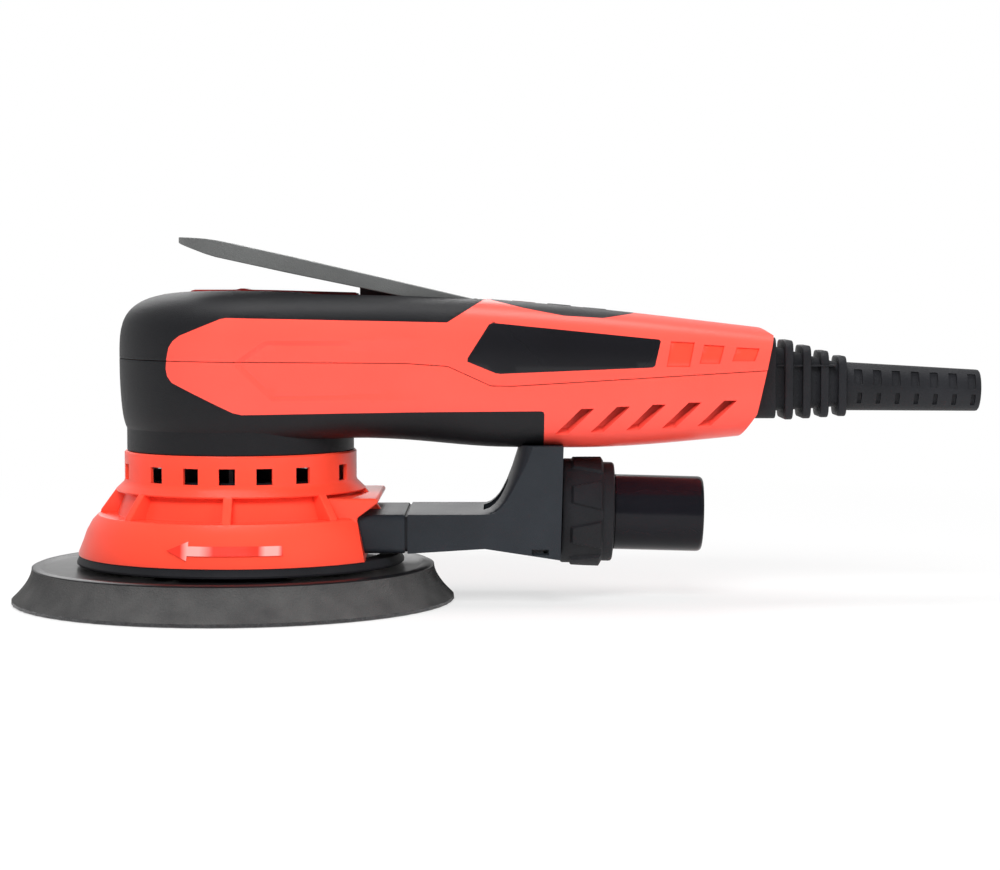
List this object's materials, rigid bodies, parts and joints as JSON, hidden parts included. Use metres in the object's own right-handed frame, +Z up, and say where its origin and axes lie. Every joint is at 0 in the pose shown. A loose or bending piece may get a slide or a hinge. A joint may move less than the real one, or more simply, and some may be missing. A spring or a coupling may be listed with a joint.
{
  "type": "random orbit sander",
  "caption": "Compact electric random-orbit sander with a round pad, vented bell shroud, paddle lever, flat dust duct with a swivelling hose spigot, and a slotted cord sleeve.",
  "frame": {"origin": "motor axis at the sanding face of the pad", "axes": "+X towards the cord end, +Z up along the motor axis, +Y completes the right hand"},
  "size_m": [0.3279, 0.15, 0.1228],
  "materials": {
    "hook": "short hook pile",
    "foam": "matt foam",
    "pad_plastic": "moulded plate with a satin top",
    "steel": "machined",
    "alloy": "die cast",
    "laminations": "stacked electrical steel",
    "copper": "enamelled winding",
    "magnet": "sintered",
    "soft_rubber": "moulded",
    "red_plastic": "satin moulded",
    "soft_grip": "fine-grained soft skin",
    "black_plastic": "fine-textured",
    "gloss_label": "bare gloss plate",
    "panel": "satin",
    "red_key": "satin",
    "grey_key": "satin",
    "lever_coat": "fine-textured coat",
    "board": "coated circuit board",
    "capacitor": "sleeve",
    "terminal": "moulded"
  },
  "bodies": {
    "housing": {"lower_bearing": "steel", "upper_bearing": "steel", "motor_bracket": "alloy", "stator_core": "laminations", "stator_coils": "copper", "bracket_screws": "steel", "brake_skirt": "soft_rubber", "shroud": "red_plastic", "lower_shell": "red_plastic", "lower_grip": "soft_grip", "upper_shell": "red_plastic", "upper_grip": "soft_grip", "side_labels": "gloss_label", "control_panel": "panel", "key_board": "board", "lever_pin": "steel", "plunger_spring": "steel", "trigger_switch": "black_plastic", "controller_board": "board", "capacitors": "capacitor", "heat_sink": "alloy", "terminal_block": "terminal", "cable_clamp": "black_plastic", "clamp_screws": "steel", "housing_screws": "steel", "duct_stub": "black_plastic", "duct_seal": "soft_rubber", "dust_duct": "black_plastic", "collar_seal": "soft_rubber", "cord_gland": "soft_rubber", "cord_sleeve": "soft_rubber"},
    "lever": {"lever": "lever_coat"},
    "plunger": {"switch_plunger": "black_plastic"},
    "power_key": {"power_key": "red_key"},
    "slower_key": {"slower_key": "grey_key"},
    "faster_key": {"faster_key": "grey_key"},
    "rotor": {"rotor_shaft": "steel", "rotor_core": "laminations", "rotor_magnets": "magnet", "cooling_fan": "black_plastic", "eccentric_hub": "alloy", "spindle_bearings": "steel", "retaining_ring": "steel"},
    "pad": {"pad_spindle": "steel", "pad_screw": "steel", "pad_plate": "pad_plastic", "foam_pad": "foam", "hook_face": "hook"},
    "collar": {"locking_collar": "soft_rubber"},
    "spigot": {"hose_spigot": "black_plastic"}
  },
  "joints": [
    {"name": "lever_press", "type": "hinge", "parent": "housing", "child": "lever", "pos_m": [0.0795, 0, 0.09945], "axis": [0, -1, 0], "range_deg": [0, 5], "stiffness_Nm_per_rad": 0.6, "springref_deg": -14.32},
    {"name": "plunger_press", "type": "slide", "parent": "housing", "child": "plunger", "axis": [0, 0, -1], "range_m": [0, 0.00251], "deforming": ["plunger_spring"]},
    {"name": "power_key_press", "type": "slide", "parent": "housing", "child": "power_key", "axis": [-0.0928, 0, -0.9957], "range_m": [0, 0.0008], "stiffness_N_per_m": 900, "springref_m": -0.0006},
    {"name": "slower_key_press", "type": "slide", "parent": "housing", "child": "slower_key", "axis": [-0.0928, 0, -0.9957], "range_m": [0, 0.0008], "stiffness_N_per_m": 900, "springref_m": -0.0006},
    {"name": "faster_key_press", "type": "slide", "parent": "housing", "child": "faster_key", "axis": [-0.0928, 0, -0.9957], "range_m": [0, 0.0008], "stiffness_N_per_m": 900, "springref_m": -0.0006},
    {"name": "rotor_spin", "type": "hinge", "parent": "housing", "child": "rotor", "pos_m": [0, 0, 0.05], "axis": [0, 0, 1], "continuous": true},
    {"name": "pad_spin", "type": "hinge", "parent": "rotor", "child": "pad", "pos_m": [-0.0025, 0, 0.02], "axis": [0, 0, 1], "continuous": true},
    {"name": "collar_turn", "type": "hinge", "parent": "housing", "child": "collar", "pos_m": [0.1084, 0, 0.0302], "axis": [0.9997, 0, -0.0262], "range_deg": [0, 30]},
    {"name": "spigot_swivel", "type": "hinge", "parent": "housing", "child": "spigot", "pos_m": [0.1084, 0, 0.0302], "axis": [0.9997, 0, -0.0262], "continuous": true}
  ],
  "couplings": [
    {"joint": "plunger_press", "follows": "lever_press", "m_per_rad": 0.028573}
  ]
}
